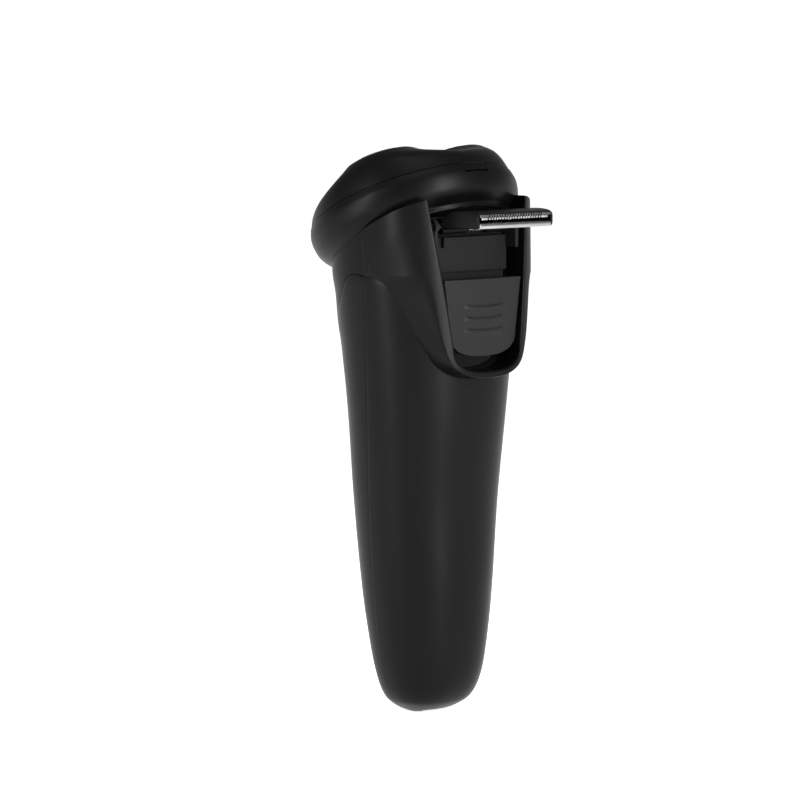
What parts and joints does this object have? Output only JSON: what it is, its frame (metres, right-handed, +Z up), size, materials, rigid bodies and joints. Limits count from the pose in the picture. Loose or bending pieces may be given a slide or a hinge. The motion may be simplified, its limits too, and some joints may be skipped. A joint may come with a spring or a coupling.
{
  "type": "electric shaver",
  "caption": "Hand-held rotary electric shaver: tapered black handle, tilted round head with floating slotted guards, flip-open head frame, fold-out hair trimmer and thumb slider.",
  "frame": {"origin": "centre of the small flat under the handle", "axes": "+Z up along the handle to the head, -Y to the front with the power button, +Y to the back with the trimmer, +X to the side"},
  "size_m": [0.06, 0.0713, 0.1595],
  "materials": {
    "shell_plastic": "fine matte moulded black, slightly silky",
    "trim_plastic": "matte moulded black",
    "slider_plastic": "matte dark grey with moulded grip ridges",
    "button_plastic": "satin black",
    "inner_plastic": "plain moulded grey",
    "gear_plastic": "natural acetal",
    "blade_steel": "polished and finely ground",
    "cutter_steel": "ground",
    "pin_steel": "drawn steel",
    "motor_steel": "zinc plated",
    "winding": "enamelled copper on a steel core",
    "pinion_brass": "machined",
    "wire_jacket": "soft insulation",
    "cell_wrap": "shrink sleeve",
    "board": "solder mask",
    "chip_black": "moulded epoxy",
    "window_clear": "diffusing clear plastic",
    "socket_metal": "plated sleeve",
    "seal_rubber": "soft silicone"
  },
  "bodies": {
    "handle": {"front_shell": "shell_plastic", "rear_shell": "shell_plastic", "front_collar": "trim_plastic", "rear_shroud": "trim_plastic", "trimmer_bay": "inner_plastic", "head_base": "trim_plastic", "head_hinge_pin": "pin_steel", "spindle_seals": "seal_rubber", "gearbox_cover": "inner_plastic", "gearbox_screws": "pin_steel", "motor_can": "motor_steel", "motor_cradle": "inner_plastic", "motor_leads": "wire_jacket", "chassis": "inner_plastic", "chassis_screws": "pin_steel", "battery_cell": "cell_wrap", "battery_contacts": "pinion_brass", "circuit_board": "board", "board_parts": "chip_black", "power_switch": "chip_black", "light_window": "window_clear", "charging_socket": "socket_metal", "socket_seal": "seal_rubber", "trimmer_bracket": "inner_plastic", "trimmer_hinge_pin": "pin_steel", "trimmer_spring": "pin_steel"},
    "rotor": {"motor_rotor": "winding", "motor_pinion": "pinion_brass"},
    "head_top": {"head_frame": "trim_plastic", "guard_retainer": "inner_plastic"},
    "release": {"release_button": "trim_plastic"},
    "power_key": {"power_button": "button_plastic"},
    "trimmer": {"trimmer_arm": "trim_plastic", "trimmer_cover": "trim_plastic", "trimmer_bar": "blade_steel", "trimmer_comb": "blade_steel"},
    "trimmer_blade": {"trimmer_cutter": "cutter_steel"},
    "lever": {"trimmer_lever": "gear_plastic"},
    "slider": {"trimmer_slider": "slider_plastic"},
    "drive_1": {"drive_gear_1": "gear_plastic", "spindle_1": "gear_plastic"},
    "guard_unit_1": {"guard_1": "blade_steel"},
    "cutter_unit_1": {"cutter_1": "cutter_steel"},
    "drive_2": {"drive_gear_2": "gear_plastic", "spindle_2": "gear_plastic"},
    "guard_unit_2": {"guard_2": "blade_steel"},
    "cutter_unit_2": {"cutter_2": "cutter_steel"},
    "drive_3": {"drive_gear_3": "gear_plastic", "spindle_3": "gear_plastic"},
    "guard_unit_3": {"guard_3": "blade_steel"},
    "cutter_unit_3": {"cutter_3": "cutter_steel"}
  },
  "joints": [
    {"name": "motor_spin", "type": "hinge", "parent": "handle", "child": "rotor", "pos_m": [0, -0.0068, 0.1424], "axis": [0, -0.4305, 0.9026], "continuous": true},
    {"name": "head_open", "type": "hinge", "parent": "handle", "child": "head_top", "pos_m": [0, 0.01954, 0.15385], "axis": [-1, 0, 0], "range_deg": [0, 95]},
    {"name": "drive_spin_1", "type": "hinge", "parent": "handle", "child": "drive_1", "pos_m": [0.01234, -0.00037, 0.14547], "axis": [0, -0.4305, 0.9026], "continuous": true},
    {"name": "guard_float_1", "type": "slide", "parent": "head_top", "child": "guard_unit_1", "axis": [0, 0.4305, -0.9026], "range_m": [0, 0.001], "stiffness_N_per_m": 400, "springref_m": -0.0005},
    {"name": "cutter_spin_1", "type": "hinge", "parent": "guard_unit_1", "child": "cutter_unit_1", "pos_m": [0.01234, -0.00037, 0.14547], "axis": [0, -0.4305, 0.9026], "continuous": true},
    {"name": "drive_spin_2", "type": "hinge", "parent": "handle", "child": "drive_2", "pos_m": [-0.01234, -0.00037, 0.14547], "axis": [0, -0.4305, 0.9026], "continuous": true},
    {"name": "guard_float_2", "type": "slide", "parent": "head_top", "child": "guard_unit_2", "axis": [0, 0.4305, -0.9026], "range_m": [0, 0.001], "stiffness_N_per_m": 400, "springref_m": -0.0005},
    {"name": "cutter_spin_2", "type": "hinge", "parent": "guard_unit_2", "child": "cutter_unit_2", "pos_m": [-0.01234, -0.00037, 0.14547], "axis": [0, -0.4305, 0.9026], "continuous": true},
    {"name": "drive_spin_3", "type": "hinge", "parent": "handle", "child": "drive_3", "pos_m": [0, -0.01966, 0.13626], "axis": [0, -0.4305, 0.9026], "continuous": true},
    {"name": "guard_float_3", "type": "slide", "parent": "head_top", "child": "guard_unit_3", "axis": [0, 0.4305, -0.9026], "range_m": [0, 0.001], "stiffness_N_per_m": 400, "springref_m": -0.0005},
    {"name": "cutter_spin_3", "type": "hinge", "parent": "guard_unit_3", "child": "cutter_unit_3", "pos_m": [0, -0.01966, 0.13626], "axis": [0, -0.4305, 0.9026], "continuous": true},
    {"name": "release_press", "type": "slide", "parent": "handle", "child": "release", "axis": [0, 0.9026, 0.4305], "range_m": [0, 0.0007], "stiffness_N_per_m": 600, "springref_m": -0.0003},
    {"name": "power_press", "type": "slide", "parent": "handle", "child": "power_key", "axis": [0, 1, 0], "range_m": [0, 0.0007], "stiffness_N_per_m": 900, "springref_m": -0.0003},
    {"name": "trimmer_fold", "type": "hinge", "parent": "handle", "child": "trimmer", "pos_m": [0, 0.0196, 0.138], "axis": [-1, 0, 0], "range_deg": [0, 90]},
    {"name": "slider_travel", "type": "slide", "parent": "handle", "child": "slider", "axis": [0, 0, -1], "range_m": [0, 0.0036]},
    {"name": "trimmer_stroke", "type": "slide", "parent": "trimmer", "child": "trimmer_blade", "axis": [1, 0, 0], "range_m": [-0.0008, 0.0008]},
    {"name": "lever_swing", "type": "hinge", "parent": "trimmer", "child": "lever", "pos_m": [0, 0.0284, 0.1405], "axis": [0, 0, 1], "range_deg": [-8.6, 8.6]}
  ],
  "couplings": [
    {"joint": "drive_spin_1", "follows": "motor_spin", "ratio": -0.425},
    {"joint": "cutter_spin_1", "follows": "motor_spin", "ratio": -0.425},
    {"joint": "drive_spin_2", "follows": "motor_spin", "ratio": -0.425},
    {"joint": "cutter_spin_2", "follows": "motor_spin", "ratio": -0.425},
    {"joint": "drive_spin_3", "follows": "motor_spin", "ratio": -0.425},
    {"joint": "cutter_spin_3", "follows": "motor_spin", "ratio": -0.425},
    {"joint": "slider_travel", "follows": "trimmer_fold", "m_per_rad": 0.0022916},
    {"joint": "lever_swing", "follows": "trimmer_stroke", "rad_per_m": -185.19}
  ]
}
